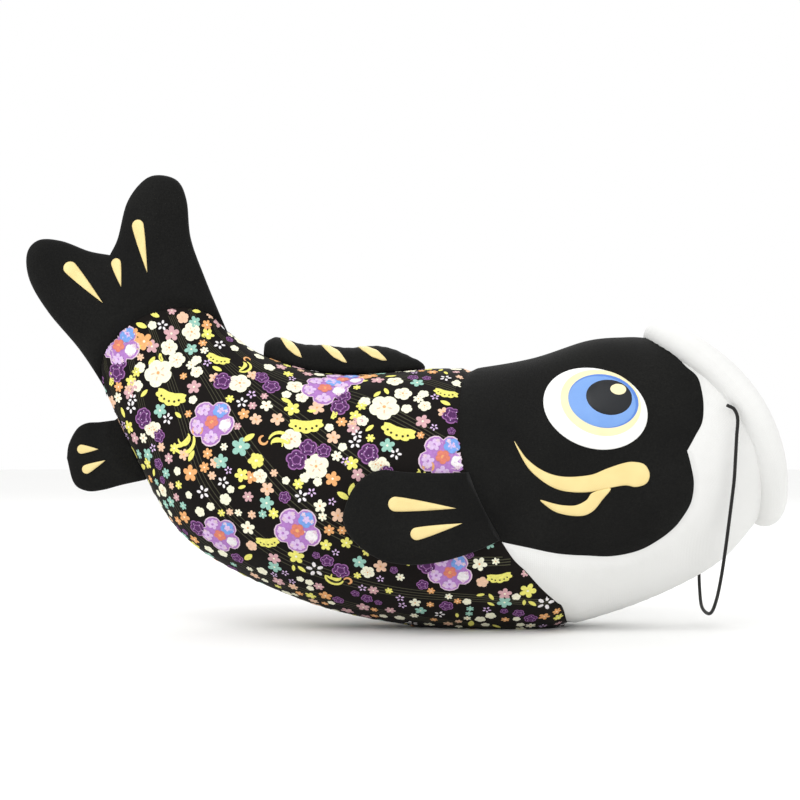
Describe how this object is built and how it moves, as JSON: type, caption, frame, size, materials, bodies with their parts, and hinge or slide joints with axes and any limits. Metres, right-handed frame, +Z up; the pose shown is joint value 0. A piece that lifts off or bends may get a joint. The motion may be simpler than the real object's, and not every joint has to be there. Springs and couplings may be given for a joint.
{
  "type": "stuffed carp cushion",
  "caption": "Large stuffed carp-shaped cushion with a flower-print body, black head and fins, a white stuffed mouth, embroidered eyes and a hanging whisker cord.",
  "frame": {"origin": "middle of the bounding box's bottom face, on the surface the cushion stands on", "axes": "+X towards the mouth, +Z up, the carp's right side towards -Y; the carp is left-right symmetric apart from the flopped back fin"},
  "size_m": [0.7532, 0.2392, 0.451],
  "materials": {
    "printed_crepe": "matte printed crepe",
    "black_cloth": "matte plain weave",
    "white_cloth": "matte brushed knit",
    "gold_thread": "satin stitch",
    "eye_thread": "satin stitch",
    "whisker_thread": "braided cord",
    "fibre_filling": "loose polyester fibre"
  },
  "bodies": {
    "fish": {"torso_cover": "printed_crepe", "head_cap": "black_cloth", "face_cover": "white_cloth", "mouth_lining": "white_cloth", "lip_roll": "white_cloth", "body_filling": "fibre_filling", "tail_fin": "black_cloth", "eye_patch_right": "eye_thread", "gill_hook_right": "gold_thread", "gill_branch_right": "gold_thread", "tail_drop_1_right": "gold_thread", "tail_drop_2_right": "gold_thread", "tail_drop_3_right": "gold_thread", "eye_patch_left": "eye_thread", "gill_hook_left": "gold_thread", "gill_branch_left": "gold_thread", "tail_drop_1_left": "gold_thread", "tail_drop_2_left": "gold_thread", "tail_drop_3_left": "gold_thread", "whisker_cord": "whisker_thread"},
    "pectoral_right": {"pectoral_fin_right": "black_cloth", "pectoral_drop_1_right": "gold_thread", "pectoral_drop_2_right": "gold_thread"},
    "pectoral_left": {"pectoral_fin_left": "black_cloth", "pectoral_drop_1_left": "gold_thread", "pectoral_drop_2_left": "gold_thread"},
    "back_fin": {"dorsal_fin": "black_cloth"},
    "belly_fin": {"anal_fin": "black_cloth", "anal_drop_1_right": "gold_thread", "anal_drop_2_right": "gold_thread", "anal_drop_1_left": "gold_thread", "anal_drop_2_left": "gold_thread"}
  },
  "joints": [
    {"name": "right_fin_flap", "type": "hinge", "parent": "fish", "child": "pectoral_right", "pos_m": [0.0745, -0.112, 0.1235], "axis": [-0.4072, 0, 0.9134], "range_deg": [0, 50], "stiffness_Nm_per_rad": 0.05},
    {"name": "left_fin_flap", "type": "hinge", "parent": "fish", "child": "pectoral_left", "pos_m": [0.0745, 0.112, 0.1235], "axis": [0.4072, 0, -0.9134], "range_deg": [0, 50], "stiffness_Nm_per_rad": 0.05},
    {"name": "back_fin_flop", "type": "hinge", "parent": "fish", "child": "back_fin", "pos_m": [-0.058, 0, 0.262], "axis": [0.9938, 0, -0.111], "range_deg": [-8, 45], "stiffness_Nm_per_rad": 0.3},
    {"name": "belly_fin_swing", "type": "hinge", "parent": "fish", "child": "belly_fin", "pos_m": [-0.273, 0, 0.176], "axis": [-0.4472, 0, 0.8944], "range_deg": [-25, 25], "stiffness_Nm_per_rad": 0.1}
  ]
}
